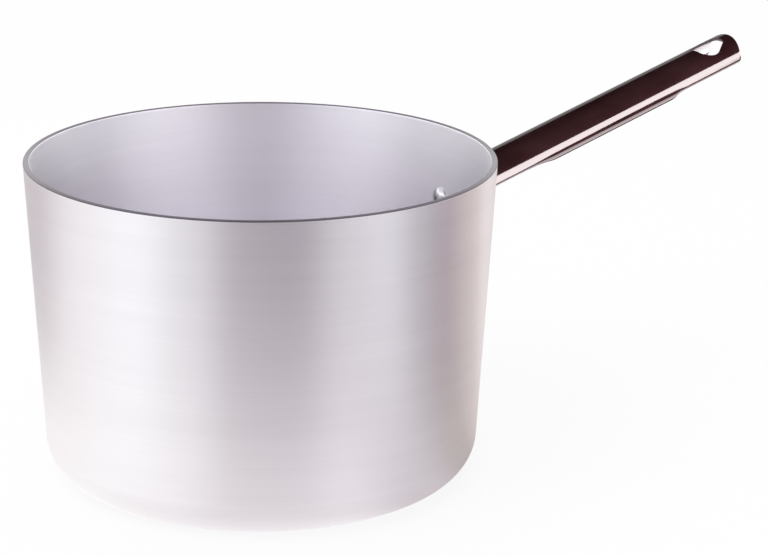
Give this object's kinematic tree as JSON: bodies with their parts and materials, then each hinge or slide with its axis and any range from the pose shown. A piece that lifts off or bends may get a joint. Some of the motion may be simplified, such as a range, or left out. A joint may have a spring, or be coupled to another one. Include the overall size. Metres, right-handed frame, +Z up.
{
  "type": "saucepan",
  "caption": "Tall straight-sided aluminium saucepan with a rounded base corner and a long rolled-sheet handle, riveted to the wall and pierced with a teardrop hanging eye.",
  "frame": {"origin": "centre of the flat base, on the surface that the pan stands on", "axes": "+Z up along the pot's axis, +X from the pot's axis out over the handle, +Y across the pot"},
  "size_m": [0.4514, 0.2462, 0.1966],
  "materials": {
    "pot_aluminium": "satin, with fine lines turned round the pot's axis inside and out, and a ground rim",
    "handle_steel": "polished steel sheet with a dark brown glossy coat outside and bright bare steel inside the roll",
    "rivet_aluminium": "smooth, bright"
  },
  "bodies": {
    "root": {"pot_body": "pot_aluminium", "handle": "handle_steel", "rivet_top": "rivet_aluminium", "rivet_lower_left": "rivet_aluminium", "rivet_lower_right": "rivet_aluminium"}
  },
  "joints": []
}
